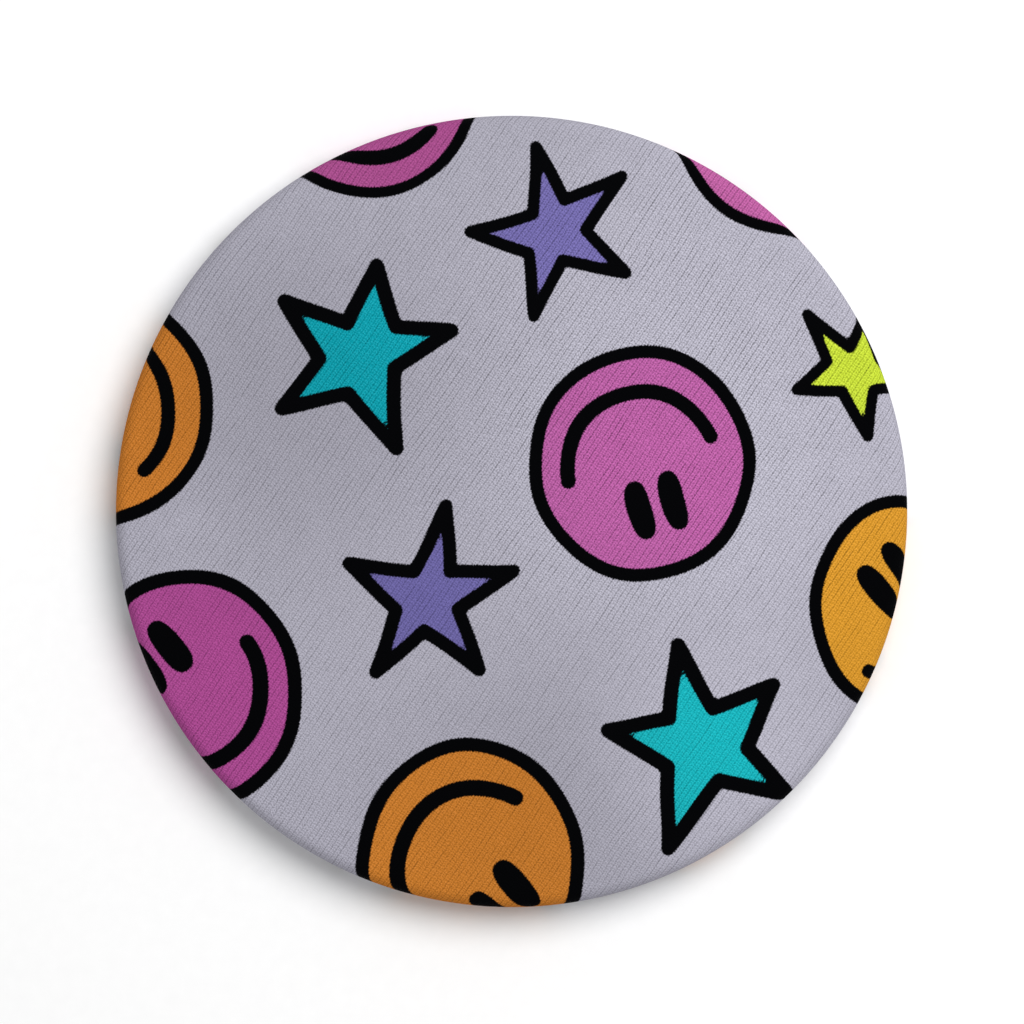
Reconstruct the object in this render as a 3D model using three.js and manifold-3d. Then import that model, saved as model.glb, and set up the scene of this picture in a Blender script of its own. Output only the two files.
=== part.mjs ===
// A round button badge, 58 mm across: a printed fabric cover stretched over a domed tinplate shell and
// crimped on a dished back plate, which carries a riveted bar pin with a hinged needle and a roll-over
// safety lock. Millimetres, +Z up. The badge lies face up on the hem of its cover, with the origin at the
// centre of its foot.

import * as THREE from "three";
import { mergeVertices } from "three/addons/utils/BufferGeometryUtils.js";
import Module from "manifold-3d";

const wasm = await Module();
wasm.setup();

// ---------------------------------------------------------------- driving dimensions

const BADGE_RADIUS = 29;
const BADGE_HEIGHT = 6.6;
const CROWN_RADIUS = 170; // the face is a shallow spherical dome
const RIM_ROLL = 1.05; // outer radius where the face rolls over into the side wall
const HEM_ROLL = 1.05; // outer radius of both turns of the hem, under the side wall
const HEM_FLAT = 0.6; // width of the flat ring that the badge lies on

const FABRIC_THICK = 0.4;
const LINING_THICK = 0.2;
const TIN_THICK = 0.28;
const LAYER_GAP = 0.04; // between pieces that touch

const FABRIC_LEG_TOP = 1.7; // where each layer's turned-in edge ends
const LINING_LEG_TOP = 1.6;
const SHELL_LEG_TOP = 1.5;

const DISH_HEIGHT = 3.9; // underside of the back plate's flat middle
const DISH_FLAT_RADIUS = 21.4;
const DISH_FOOT_RADIUS = 24.6;
const BRIM_HEIGHT = 1.75; // underside of the back plate's brim
const FLANGE_TOP = 3.25;

const PIN_Y = 5; // the pin sits above the middle, so that a worn badge hangs upright
const PIN_AXIS_Z = 2; // height of the needle, its hinge and the lock
const HINGE_X = -15;
const LOCK_X = 15;

const BAR_LENGTH = 37;
const BAR_WIDTH = 5;
const BAR_THICK = 0.5;
const BAR_CORNER = 1.4;
const BAR_RIVET_X = 8.5;
const BAR_SPARE_HOLE = 0.9;

const RIVET_SHANK = 0.7;
const RIVET_HEAD = 1.35;
const RIVET_HEAD_THICK = 0.35;
const RIVET_CLENCH = 1.25;
const RIVET_CLENCH_THICK = 0.4;
const HEAD_FLAT = 0.6; // the flat middle of a rivet's head, as a share of its radius
const HEAD_EDGE = 0.4; // a head's thickness at its edge, as a share of the whole
const CLENCH_FLAT = 0.7;
const FIT_GAP = 0.05; // all round, between a rivet or tenon and its hole

const PAD_THICK = 0.3; // foot of the hinge bracket and of the lock housing
const PAD_WIDTH = 2.7;
const PAD_CORNER = 0.4;
const HINGE_PAD_LENGTH = 3.4;
const TENON_RADIUS = 0.5;

const EAR_RADIUS = 1.05;
const EAR_THICK = 0.4;
const EAR_GAP = 0.1; // between an ear and the needle's eye
const EYE_RADIUS = 0.9;
const EYE_HOLE = 0.45;
const NEEDLE_RADIUS = 0.4;
const NEEDLE_TAPER = 4;
const POINT_SHARE = 0.6; // of the wire's radius, where the taper steepens to the point
const POINT_AT = 0.4; // of the taper's length, from the tip
const NEEDLE_TIP_X = 18.2;
const HINGE_RIVET_RADIUS = 0.4;
const HINGE_RIVET_HEAD = 0.75;
const HINGE_RIVET_HEAD_THICK = 0.3;

const HOUSING_LENGTH = 3.2;
const HOUSING_OUTER = 1.3;
const HOUSING_INNER = 1.0;
const MOUTH_FROM = -35; // degrees from straight down, towards +Y
const MOUTH_TO = 78;
const LOCK_OUTER = 0.95;
const LOCK_INNER = 0.55;
const LOCK_SLOT = 0.95; // width of the slot that lets the needle in
const COLLAR_RADIUS = 1.25;
const COLLAR_THICK = 0.35;
const LEVER_ANGLE = 58;
const LEVER_REACH = 1.8;
const LEVER_THICK = 0.5;
const LEVER_LENGTH = 2;
const LEVER_ROOT = 0.65; // where the lever starts, inside the barrel's wall

const ROUND_STEPS = 48; // sides of the badge's round pieces
const SMALL_STEPS = 16; // sides of rivets, holes and wire
const WELD = 1e-4; // vertices closer than this are one

// ---------------------------------------------------------------- materials

const printedKnit = new THREE.MeshStandardMaterial({ color: 0xb4b2bf, roughness: 0.85, metalness: 0 });
const nonwoven = new THREE.MeshStandardMaterial({ color: 0xf2f0ea, roughness: 0.95, metalness: 0 });
const tinplate = new THREE.MeshStandardMaterial({ color: 0xb9bcc0, roughness: 0.3, metalness: 1 });
const nickel = new THREE.MeshStandardMaterial({ color: 0xc9c6bf, roughness: 0.2, metalness: 1 });
const needleSteel = new THREE.MeshStandardMaterial({ color: 0xd2d4d6, roughness: 0.15, metalness: 1 });

// ---------------------------------------------------------------- helpers

const degrees = (angle) => (angle * Math.PI) / 180;

// Points along an arc, both ends included. Angles are in degrees, anticlockwise from the first axis.
function arc(centreX, centreY, radius, from, to, steps) {
  return Array.from({ length: steps + 1 }, (_, i) => {
    const angle = degrees(from + ((to - from) * i) / steps);
    return new THREE.Vector2(centreX + radius * Math.cos(angle), centreY + radius * Math.sin(angle));
  });
}

// A profile of (radius, height) points, turned about the vertical axis.
function turned(profile, sides) {
  return new THREE.LatheGeometry(profile, sides).rotateX(Math.PI / 2);
}

// A shape in (y, z), drawn out along X from x.
function drawnAlongX(shape, x, length) {
  const ahead = new THREE.Matrix4().makeBasis(
    new THREE.Vector3(0, 1, 0),
    new THREE.Vector3(0, 0, 1),
    new THREE.Vector3(1, 0, 0),
  );
  return new THREE.ExtrudeGeometry(shape, { depth: length, bevelEnabled: false, curveSegments: SMALL_STEPS })
    .applyMatrix4(ahead)
    .translate(x, 0, 0);
}

// A shape in (x, z), drawn out along Y and centred on y.
function drawnAlongY(shape, y, length) {
  return new THREE.ExtrudeGeometry(shape, { depth: length, bevelEnabled: false, curveSegments: SMALL_STEPS })
    .rotateX(Math.PI / 2)
    .translate(0, y + length / 2, 0);
}

// A shape in (x, y), drawn out upwards from z.
function drawnUp(shape, z, length) {
  const options = { depth: length, bevelEnabled: false, curveSegments: SMALL_STEPS / 4 };
  return new THREE.ExtrudeGeometry(shape, options).translate(0, 0, z);
}

function cylinderUp(x, y, radius, from, to) {
  return new THREE.CylinderGeometry(radius, radius, to - from, SMALL_STEPS)
    .rotateX(Math.PI / 2)
    .translate(x, y, (from + to) / 2);
}

function roundedRectangle(x, y, width, height, corner) {
  const [left, right] = [x - width / 2, x + width / 2];
  const [low, high] = [y - height / 2, y + height / 2];
  return new THREE.Shape()
    .absarc(right - corner, high - corner, corner, 0, degrees(90))
    .absarc(left + corner, high - corner, corner, degrees(90), degrees(180))
    .absarc(left + corner, low + corner, corner, degrees(180), degrees(270))
    .absarc(right - corner, low + corner, corner, degrees(270), degrees(360))
    .closePath();
}

function solidOf(geometry) {
  const bare = new THREE.BufferGeometry().setAttribute("position", geometry.getAttribute("position"));
  bare.setIndex(geometry.index);
  const merged = mergeVertices(bare, WELD);
  return new wasm.Manifold(
    new wasm.Mesh({
      numProp: 3,
      vertProperties: merged.getAttribute("position").array,
      triVerts: new Uint32Array(merged.index.array),
    }),
  );
}

function geometryOf(solid) {
  const mesh = solid.getMesh();
  return new THREE.BufferGeometry()
    .setAttribute("position", new THREE.BufferAttribute(mesh.vertProperties, 3))
    .setIndex(new THREE.BufferAttribute(mesh.triVerts, 1));
}

const joined = (...geometries) => geometryOf(geometries.map(solidOf).reduce((a, b) => a.add(b)));

const cutFrom = (geometry, ...cutters) =>
  geometryOf(cutters.map(solidOf).reduce((a, b) => a.subtract(b), solidOf(geometry)));

function piece(name, geometry, material) {
  const mesh = new THREE.Mesh(geometry, material);
  mesh.name = name;
  return mesh;
}

// ---------------------------------------------------------------- cover, lining and shell

const wallCentre = BADGE_RADIUS - RIM_ROLL;
const hemInnerCentre = BADGE_RADIUS - HEM_ROLL - HEM_FLAT;
const crownCentre = BADGE_HEIGHT - CROWN_RADIUS;
const rimSlope = (Math.asin(wallCentre / (CROWN_RADIUS - RIM_ROLL)) * 180) / Math.PI;
const rimCentre = crownCentre + (CROWN_RADIUS - RIM_ROLL) * Math.cos(degrees(rimSlope));

// The badge's outline in (radius, height), moved inwards by depth: over the face, down the side wall,
// round the hem and up to legTop.
function outlineAt(depth, legTop) {
  const crownArc = arc(0, crownCentre, CROWN_RADIUS - depth, 90, 90 - rimSlope, 5);
  crownArc[0].x = 0;
  return [
    ...crownArc,
    ...arc(wallCentre, rimCentre, RIM_ROLL - depth, 90 - rimSlope, 0, 3).slice(1),
    ...arc(BADGE_RADIUS - HEM_ROLL, HEM_ROLL, HEM_ROLL - depth, 0, -90, 2),
    ...arc(hemInnerCentre, HEM_ROLL, HEM_ROLL - depth, -90, -180, 2),
    new THREE.Vector2(hemInnerCentre - HEM_ROLL + depth, legTop),
  ];
}

function layer(depth, thickness, legTop) {
  const outside = outlineAt(depth, legTop);
  const inside = outlineAt(depth + thickness, legTop);
  return turned([...inside, ...outside.reverse()], ROUND_STEPS);
}

const liningDepth = FABRIC_THICK + LAYER_GAP;
const shellDepth = liningDepth + LINING_THICK + LAYER_GAP;

const fabricCover = piece("fabric_cover", layer(0, FABRIC_THICK, FABRIC_LEG_TOP), printedKnit);
const interlining = piece("interlining", layer(liningDepth, LINING_THICK, LINING_LEG_TOP), nonwoven);
const frontShell = piece("front_shell", layer(shellDepth, TIN_THICK, SHELL_LEG_TOP), tinplate);

// ---------------------------------------------------------------- back plate

const flangeRadius = BADGE_RADIUS - shellDepth - TIN_THICK - LAYER_GAP;
const dishTop = DISH_HEIGHT + TIN_THICK;
const brimTop = BRIM_HEIGHT + TIN_THICK;
const slopeShift = TIN_THICK / 2; // keeps the sloping wall about as thick as the rest

const backProfile = [
  [0, DISH_HEIGHT],
  [DISH_FLAT_RADIUS, DISH_HEIGHT],
  [DISH_FOOT_RADIUS, BRIM_HEIGHT],
  [flangeRadius, BRIM_HEIGHT],
  [flangeRadius, FLANGE_TOP],
  [flangeRadius - TIN_THICK, FLANGE_TOP],
  [flangeRadius - TIN_THICK, brimTop],
  [DISH_FOOT_RADIUS + slopeShift, brimTop],
  [DISH_FLAT_RADIUS + slopeShift, dishTop],
  [0, dishTop],
].map(([radius, height]) => new THREE.Vector2(radius, height));

const rivetHoles = [-BAR_RIVET_X, BAR_RIVET_X].map((x) =>
  cylinderUp(x, PIN_Y, RIVET_SHANK + FIT_GAP, DISH_HEIGHT - 1, dishTop + 1),
);
const backPlate = piece("back_plate", cutFrom(turned(backProfile, ROUND_STEPS), ...rivetHoles), tinplate);

// ---------------------------------------------------------------- bar and its rivets

const barTop = DISH_HEIGHT - LAYER_GAP;
const barLow = barTop - BAR_THICK;
const padTop = barLow - LAYER_GAP;
const padLow = padTop - PAD_THICK;

function barShape() {
  const shape = roundedRectangle(0, PIN_Y, BAR_LENGTH, BAR_WIDTH, BAR_CORNER);
  const holes = [
    [0, BAR_SPARE_HOLE],
    [-BAR_RIVET_X, RIVET_SHANK + FIT_GAP],
    [BAR_RIVET_X, RIVET_SHANK + FIT_GAP],
    [HINGE_X, TENON_RADIUS + FIT_GAP],
    [LOCK_X, TENON_RADIUS + FIT_GAP],
  ];
  for (const [x, radius] of holes) {
    const corners = arc(x, PIN_Y, radius, 0, 360, SMALL_STEPS).slice(0, -1);
    shape.holes.push(new THREE.Path(corners.reverse()));
  }
  return shape;
}

const pinBar = piece("pin_bar", drawnUp(barShape(), barLow, BAR_THICK), nickel);

// A rivet through the bar and the back plate: a head under the bar, and a clenched end above the plate.
function barRivet(name, x) {
  const clenchLow = dishTop + LAYER_GAP;
  const profile = [
    [0, padTop - RIVET_HEAD_THICK],
    [RIVET_HEAD * HEAD_FLAT, padTop - RIVET_HEAD_THICK],
    [RIVET_HEAD, padTop - RIVET_HEAD_THICK * HEAD_EDGE],
    [RIVET_HEAD, padTop],
    [RIVET_SHANK, padTop],
    [RIVET_SHANK, clenchLow],
    [RIVET_CLENCH, clenchLow],
    [RIVET_CLENCH * CLENCH_FLAT, clenchLow + RIVET_CLENCH_THICK],
    [0, clenchLow + RIVET_CLENCH_THICK],
  ].map(([radius, height]) => new THREE.Vector2(radius, height));
  return piece(name, turned(profile, SMALL_STEPS).translate(x, PIN_Y, 0), nickel);
}

const barRivets = [barRivet("bar_rivet_left", -BAR_RIVET_X), barRivet("bar_rivet_right", BAR_RIVET_X)];

// The foot of a part that is staked on the bar: a flat pad, and a tenon that fills its hole in the bar.
function stakedFoot(x, length) {
  return [
    drawnUp(roundedRectangle(x, PIN_Y, length, PAD_WIDTH, PAD_CORNER), padLow, PAD_THICK),
    cylinderUp(x, PIN_Y, TENON_RADIUS, padTop - PAD_THICK / 2, barTop),
  ];
}

// ---------------------------------------------------------------- hinge

const earInnerY = NEEDLE_RADIUS + EAR_GAP;

function ear(side) {
  const outline = [
    new THREE.Vector2(HINGE_X + EAR_RADIUS, padTop - PAD_THICK / 2),
    new THREE.Vector2(HINGE_X - EAR_RADIUS, padTop - PAD_THICK / 2),
    ...arc(HINGE_X, PIN_AXIS_Z, EAR_RADIUS, 180, 360, SMALL_STEPS / 2),
  ];
  const shape = new THREE.Shape(outline);
  const hole = arc(HINGE_X, PIN_AXIS_Z, HINGE_RIVET_RADIUS + FIT_GAP, 0, 360, SMALL_STEPS).slice(0, -1);
  shape.holes.push(new THREE.Path(hole.reverse()));
  return drawnAlongY(shape, PIN_Y + side * (earInnerY + EAR_THICK / 2), EAR_THICK);
}

const hingeParts = [...stakedFoot(HINGE_X, HINGE_PAD_LENGTH), ear(-1), ear(1)];
const hingeBracket = piece("hinge_bracket", joined(...hingeParts), nickel);

function hingeRivetGeometry() {
  const grip = earInnerY + EAR_THICK + LAYER_GAP;
  const profile = [
    [0, -grip - HINGE_RIVET_HEAD_THICK],
    [HINGE_RIVET_HEAD * HEAD_FLAT, -grip - HINGE_RIVET_HEAD_THICK],
    [HINGE_RIVET_HEAD, -grip],
    [HINGE_RIVET_RADIUS, -grip],
    [HINGE_RIVET_RADIUS, grip],
    [HINGE_RIVET_HEAD, grip],
    [HINGE_RIVET_HEAD * HEAD_FLAT, grip + HINGE_RIVET_HEAD_THICK],
    [0, grip + HINGE_RIVET_HEAD_THICK],
  ].map(([radius, height]) => new THREE.Vector2(radius, height));
  return turned(profile, SMALL_STEPS).rotateX(Math.PI / 2).translate(HINGE_X, PIN_Y, PIN_AXIS_Z);
}

const hingeRivet = piece("hinge_rivet", hingeRivetGeometry(), nickel);

function pinStemGeometry() {
  const eye = new THREE.Shape(arc(HINGE_X, PIN_AXIS_Z, EYE_RADIUS, 0, 360, SMALL_STEPS).slice(0, -1));
  const hole = arc(HINGE_X, PIN_AXIS_Z, EYE_HOLE, 0, 360, SMALL_STEPS).slice(0, -1);
  eye.holes.push(new THREE.Path(hole.reverse()));
  const start = HINGE_X + (EYE_HOLE + EYE_RADIUS) / 2;
  const wireProfile = [
    [0, start],
    [NEEDLE_RADIUS, start],
    [NEEDLE_RADIUS, NEEDLE_TIP_X - NEEDLE_TAPER],
    [NEEDLE_RADIUS * POINT_SHARE, NEEDLE_TIP_X - NEEDLE_TAPER * POINT_AT],
    [0, NEEDLE_TIP_X],
  ].map(([radius, height]) => new THREE.Vector2(radius, height));
  const wire = turned(wireProfile, SMALL_STEPS).rotateY(Math.PI / 2).translate(0, PIN_Y, PIN_AXIS_Z);
  return joined(drawnAlongY(eye, PIN_Y, 2 * NEEDLE_RADIUS), wire);
}

const pinStem = piece("pin_stem", pinStemGeometry(), needleSteel);

// ---------------------------------------------------------------- roll-over lock

const housingTube = drawnAlongX(
  new THREE.Shape([
    ...arc(PIN_Y, PIN_AXIS_Z, HOUSING_OUTER, MOUTH_TO - 90, MOUTH_FROM + 270, SMALL_STEPS),
    ...arc(PIN_Y, PIN_AXIS_Z, HOUSING_INNER, MOUTH_FROM + 270, MOUTH_TO - 90, SMALL_STEPS),
  ]),
  LOCK_X - HOUSING_LENGTH / 2,
  HOUSING_LENGTH,
);
const housingParts = [...stakedFoot(LOCK_X, HOUSING_LENGTH), housingTube];
const catchHousing = piece("catch_housing", joined(...housingParts), nickel);

// A ring about the needle, drawn out along X from x.
function lockRing(radius, x, length) {
  const shape = new THREE.Shape(arc(PIN_Y, PIN_AXIS_Z, radius, 0, 360, SMALL_STEPS).slice(0, -1));
  const bore = arc(PIN_Y, PIN_AXIS_Z, LOCK_INNER, 0, 360, SMALL_STEPS).slice(0, -1);
  shape.holes.push(new THREE.Path(bore.reverse()));
  return drawnAlongX(shape, x, length);
}

// A barrel with a collar at each end of the housing and a lever through the housing's mouth. One straight
// slot runs the barrel's whole length, and faces the mouth while the lock is open.
function catchLockGeometry() {
  const reach = HOUSING_LENGTH / 2 + LAYER_GAP + COLLAR_THICK;
  const lever = new THREE.BoxGeometry(LEVER_LENGTH, LEVER_THICK, LEVER_REACH - LEVER_ROOT)
    .translate(0, 0, -(LEVER_ROOT + LEVER_REACH) / 2)
    .rotateX(degrees(LEVER_ANGLE))
    .translate(LOCK_X, PIN_Y, PIN_AXIS_Z);
  const whole = joined(
    lockRing(LOCK_OUTER, LOCK_X - reach, 2 * reach),
    lockRing(COLLAR_RADIUS, LOCK_X - reach, COLLAR_THICK),
    lockRing(COLLAR_RADIUS, LOCK_X + reach - COLLAR_THICK, COLLAR_THICK),
    lever,
  );
  const slot = new THREE.BoxGeometry(3 * reach, LOCK_SLOT, 2 * COLLAR_RADIUS)
    .translate(LOCK_X, PIN_Y, PIN_AXIS_Z - COLLAR_RADIUS);
  return cutFrom(whole, slot);
}

const catchLock = piece("catch_lock", catchLockGeometry(), nickel);

// ---------------------------------------------------------------- assembly

const badge = new THREE.Group();
badge.add(fabricCover, interlining, frontShell, backPlate);

const pinAssembly = new THREE.Group();
pinAssembly.add(pinBar, ...barRivets, hingeBracket, hingeRivet, pinStem, catchHousing, catchLock);
badge.add(pinAssembly);

export default badge;
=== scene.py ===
"""A round button badge, face up on a white table: a printed knit cover over a tinplate shell, with a
riveted bar pin on its back. Lengths are in millimetres in this script, and in metres once they are in a mesh.
"""

import math
from typing import NamedTuple

import bmesh
import bpy
import numpy as np
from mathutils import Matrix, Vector
from mathutils.geometry import tessellate_polygon


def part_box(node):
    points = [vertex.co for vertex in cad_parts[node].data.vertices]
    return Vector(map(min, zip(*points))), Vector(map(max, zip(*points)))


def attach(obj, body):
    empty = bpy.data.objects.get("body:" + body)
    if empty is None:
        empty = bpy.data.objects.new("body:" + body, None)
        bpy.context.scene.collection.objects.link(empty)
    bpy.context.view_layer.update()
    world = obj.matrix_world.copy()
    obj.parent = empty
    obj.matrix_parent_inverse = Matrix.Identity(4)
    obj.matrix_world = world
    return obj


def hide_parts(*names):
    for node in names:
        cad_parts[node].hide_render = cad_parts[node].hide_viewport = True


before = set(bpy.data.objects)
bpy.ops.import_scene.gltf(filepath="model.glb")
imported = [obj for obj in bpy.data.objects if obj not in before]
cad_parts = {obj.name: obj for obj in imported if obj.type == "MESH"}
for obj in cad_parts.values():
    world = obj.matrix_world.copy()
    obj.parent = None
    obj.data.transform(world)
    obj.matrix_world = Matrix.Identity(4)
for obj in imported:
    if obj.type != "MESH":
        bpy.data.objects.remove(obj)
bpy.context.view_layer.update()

MM = 0.001

# ---------------------------------------------------------------- sizes

cover_low, cover_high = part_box("fabric_cover")
RADIUS = (cover_high.x - cover_low.x) / 2 / MM
HEIGHT = cover_high.z / MM
CROWN_RADIUS = 170.0
ROLL = 1.05
HEM_FLAT = 0.6
FABRIC_THICK = 0.4
FABRIC_LEG_TOP = 1.7

# ---------------------------------------------------------------- the badge's outline


def arc(across, up, radius, start, end, steps):
    angle = np.radians(np.linspace(start, end, steps + 1))
    return np.stack([across + radius * np.cos(angle), up + radius * np.sin(angle)], axis=1)


def outline(depth, leg_top, crown_steps=60):
    """The badge's outline in (radius, height), moved inwards by depth, and its number of crown points."""
    wall = RADIUS - ROLL
    foot = wall - HEM_FLAT
    crown_up = HEIGHT - CROWN_RADIUS
    slope = math.degrees(math.asin(wall / (CROWN_RADIUS - ROLL)))
    rim_up = crown_up + (CROWN_RADIUS - ROLL) * math.cos(math.radians(slope))
    crown = arc(0, crown_up, CROWN_RADIUS - depth, 90, 90 - slope, crown_steps)
    rim = arc(wall, rim_up, ROLL - depth, 90 - slope, 0, 8)
    side = np.linspace(rim[-1], (RADIUS - depth, ROLL), 11)
    turn = arc(wall, ROLL, ROLL - depth, 0, -90, 7)
    under = arc(foot, ROLL, ROLL - depth, -90, -180, 7)
    leg = np.linspace(under[-1], (under[-1][0], leg_top), 4)
    return np.concatenate([crown, rim[1:], side[1:], turn[1:], under, leg[1:]]), len(crown)


# ---------------------------------------------------------------- the print


def linear(red, green, blue):
    """A colour as seen on a screen, 0 to 255, as the light that it gives back."""
    part = np.array([red, green, blue]) / 255
    return np.where(part <= 0.04045, part / 12.92, ((part + 0.055) / 1.055) ** 2.4)


# Most of these colours were scaled by a program to match the photo's. The pinks, the two oranges, the teals
# and the purples each come as lighter and darker copies of one dye, for where they lie on the badge: painted
# light and shade.
GROUND = linear(171, 169, 182)
PINK_SHADED_LEFT = linear(168, 73, 142)
PINK = linear(172, 88, 151)
PINK_SHADED_TOP = linear(166, 77, 138)
PINK_LIT_RIGHT = linear(177, 90, 150)
ORANGE = linear(203, 125, 46)
ORANGE_SHADED_LEFT = linear(203, 124, 46)
AMBER = linear(205, 143, 42)
TEAL_SHADED = linear(12, 165, 180)
TEAL = linear(21, 167, 175)
PURPLE_LIT_TOP = linear(111, 103, 165)
PURPLE = linear(107, 100, 161)
LIME = linear(186, 206, 54)


class Smiley(NamedTuple):
    """Angles are in degrees, anticlockwise, and lengths in millimetres."""

    dye: tuple
    centre: tuple
    half: tuple  # half-width and half-height
    middle: float  # where the middle of the smile points, from +X
    line: float = 0.98  # width of the outline
    smile: tuple = (5.8, 0, 0)  # its radius, and its centre from the face's centre
    reach: tuple = (85, 85)  # from the smile's middle to its ends
    smile_line: float = 1.1
    eyes: tuple = (3.3, 0, 1.27)  # above the centre, to one side of it, and from there to an eye
    lean: float = 5
    eye: tuple = (0.94, 2.2)  # half-width and half-height


# These numbers were fitted to the photo by a program, and a few of them adjusted afterwards.
# The last one lies on the side wall and the hem, where the photo shows nothing, and its place was given.
SMILEYS = [
    Smiley(PINK_SHADED_TOP, (-10.49, 30.99), (7.68, 7.68), -127.0, 0.82, (6.20, -0.07, 1.07), (85.6, 85.6), 1.11,
           (3.20, 0.00, 1.27), 6.5, (0.95, 2.20)),
    Smiley(PINK_LIT_RIGHT, (20.68, 29.11), (8.56, 8.56), 45.0, 0.84, (5.40, 0.00, 0.00), (85.6, 85.6), 1.00,
           (3.20, 0.00, 1.27), 6.5, (0.95, 2.20)),
    Smiley(ORANGE_SHADED_LEFT, (-30.53, 7.62), (8.32, 8.32), 42.8, 0.98, (6.03, -0.54, -0.28), (89.1, 85.6), 1.06,
           (3.20, 0.00, 1.27), 6.5, (0.95, 2.20)),
    Smiley(PINK, (9.50, 3.49), (7.80, 8.14), 106.1, 0.97, (5.47, -0.00, -0.23), (81.5, 85.8), 1.11,
           (3.25, 0.18, 1.25), 0.3, (0.91, 2.20)),
    Smiley(AMBER, (28.62, -6.94), (6.38, 7.66), -46.1, 0.94, (5.39, 0.00, -0.00), (71.8, 85.6), 0.99,
           (1.78, -0.75, 1.20), 2.9, (0.88, 2.49)),
    Smiley(PINK_SHADED_LEFT, (-23.57, -13.21), (7.82, 8.49), -46.4, 1.05, (5.81, -0.51, 0.24), (85.6, 81.7), 1.21,
           (3.42, -0.01, 1.28), 3.8, (1.00, 2.18)),
    Smiley(ORANGE, (-3.03, -26.07), (7.88, 9.05), 143.8, 1.02, (5.92, 0.62, -0.03), (81.4, 85.6), 1.19,
           (3.53, -0.50, 1.47), 14.4, (0.98, 2.32)),
    Smiley(ORANGE, (19.6, -33.9), (7.8, 7.8), 25),
]

EYE_SQUARENESS = 2.6  # 2 is an ellipse

# Stars: dye, width of the outline, and the corners in turn, each tip followed by the inner corner after it.
# The corners were fitted to the photo by a program.
STARS = [
    (PURPLE_LIT_TOP, 0.90, [(7.98, 24.52), (5.45, 20.54), (8.28, 17.44), (3.66, 18.27), (1.69, 14.24),
        (1.21, 18.86), (-2.99, 20.38), (1.63, 21.70), (1.77, 26.63), (3.89, 22.69)]),
    (TEAL_SHADED, 1.08, [(-4.36, 13.13), (-8.60, 10.51), (-8.45, 4.65), (-11.90, 8.55), (-16.71, 7.57),
        (-14.07, 11.12), (-16.54, 15.43), (-11.95, 13.65), (-9.90, 17.97), (-8.41, 13.52)]),
    (PURPLE, 1.00, [(0.12, -4.31), (-3.86, -7.19), (-2.37, -11.53), (-6.40, -8.69), (-9.90, -11.69),
        (-8.38, -7.10), (-11.89, -3.83), (-7.09, -4.36), (-4.73, 0.35), (-4.49, -4.42)]),
    (TEAL, 1.09, [(19.14, -12.72), (17.15, -17.27), (20.47, -20.91), (15.20, -19.58), (11.43, -24.69),
        (11.42, -18.74), (6.97, -15.91), (11.49, -15.15), (12.08, -9.78), (14.70, -14.32)]),
    (LIME, 0.84, [(21.69, 14.42), (24.71, 11.99), (26.13, 14.46), (26.98, 11.24), (29.45, 9.34),
        (26.50, 8.83), (26.03, 5.45), (24.17, 8.84), (20.86, 8.88), (23.01, 11.03)]),
]
# The ones on the side wall and the hem: dye, centre, radius of the tips, and where the first tip points.
WALL_STARS = [
    (PURPLE, (5.8, 36.9), 5.8, 80),
    (TEAL_SHADED, (-27.6, 25.7), 6.0, 100),
    (LIME, (-18.2, -31.4), 4.6, 30),
    (PURPLE_LIT_TOP, (32.5, -20.8), 5.6, 0),
]
WALL_STAR_LINE = 0.95  # width of their outlines
WALL_STAR_WAIST = 0.45  # their inner corners, as a share of the tips' radius
SHAKE = 0.06  # how far the hand-drawn lines wander


def star_corners(centre, tip_radius, turn):
    angle = np.radians(turn + 36 * np.arange(10))
    radius = np.where(np.arange(10) % 2, WALL_STAR_WAIST * tip_radius, tip_radius)
    return np.array(centre) + np.stack([radius * np.cos(angle), radius * np.sin(angle)], axis=1)


def from_ellipse(points, centre, half, power=2.0):
    """About how far each point is outside an ellipse, or a squarer shape for a higher power."""
    part = np.maximum(np.abs((points - np.array(centre)) / half), 1e-9)
    size = (part**power).sum(axis=1) ** (1 / power)
    slope = part ** (power - 1) / np.array(half) * size[:, None] ** (1 - power)
    return (size - 1) / np.hypot(*slope.T)


def from_smile(points, face):
    """How far each point is outside the smile."""
    radius, *shift = face.smile
    x, y = (points - np.array(face.centre) - shift).T
    aside = (np.degrees(np.arctan2(y, x)) - face.middle + 180) % 360 - 180
    ends = [np.radians(face.middle + side * reach) for side, reach in zip((-1, 1), face.reach)]
    to_ends = [np.hypot(x - radius * np.cos(a), y - radius * np.sin(a)) for a in ends]
    on_arc = (aside > -face.reach[0]) & (aside < face.reach[1])
    return np.where(on_arc, np.abs(np.hypot(x, y) - radius), np.minimum(*to_ends)) - face.smile_line / 2


def turned_back(points, centre, angle):
    """The points about centre, turned clockwise by angle in degrees."""
    c, s = math.cos(math.radians(angle)), math.sin(math.radians(angle))
    return (points - centre) @ np.array([[c, -s], [s, c]])


def from_eyes(points, face):
    """How far each point is outside the eyes, which are opposite the smile's middle."""
    up = math.radians(face.middle + 180)
    above, aside, apart = face.eyes
    best = np.full(len(points), np.inf)
    for side in (-1, 1):
        eye = np.array(face.centre) + above * np.array([math.cos(up), math.sin(up)])
        eye = eye + (aside + side * apart) * np.array([-math.sin(up), math.cos(up)])
        upright = turned_back(points, eye, math.degrees(up) - 90 - face.lean)
        best = np.minimum(best, from_ellipse(upright, (0, 0), face.eye, EYE_SQUARENESS))
    return best


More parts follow.
